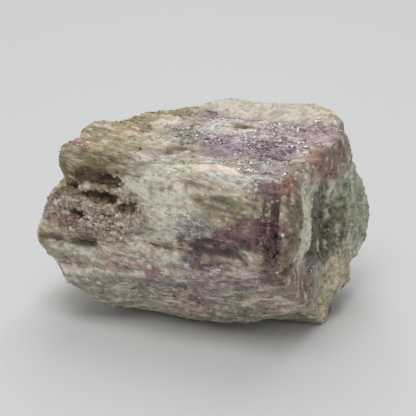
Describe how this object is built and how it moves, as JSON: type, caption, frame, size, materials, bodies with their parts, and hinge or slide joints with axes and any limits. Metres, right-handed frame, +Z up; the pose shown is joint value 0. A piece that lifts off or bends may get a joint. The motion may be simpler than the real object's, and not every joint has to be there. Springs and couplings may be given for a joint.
{
  "type": "rough watermelon tourmaline crystal",
  "caption": "Rough broken prism of pink and green tourmaline grown together with purple mica and pale quartz, striated along its length, resting on its own flat underside.",
  "frame": {"origin": "on the surface the stone rests on, under the middle of its box", "axes": "+X along the crystal's long axis towards its green broken end, -Y towards its striated front, +Z up"},
  "size_m": [0.0647, 0.051, 0.0453],
  "materials": {
    "tourmaline_rock": "rough broken mineral, satin to glassy along the striations, with fine sparkling mica flakes"
  },
  "bodies": {
    "root": {"crystal": "tourmaline_rock"}
  },
  "joints": []
}
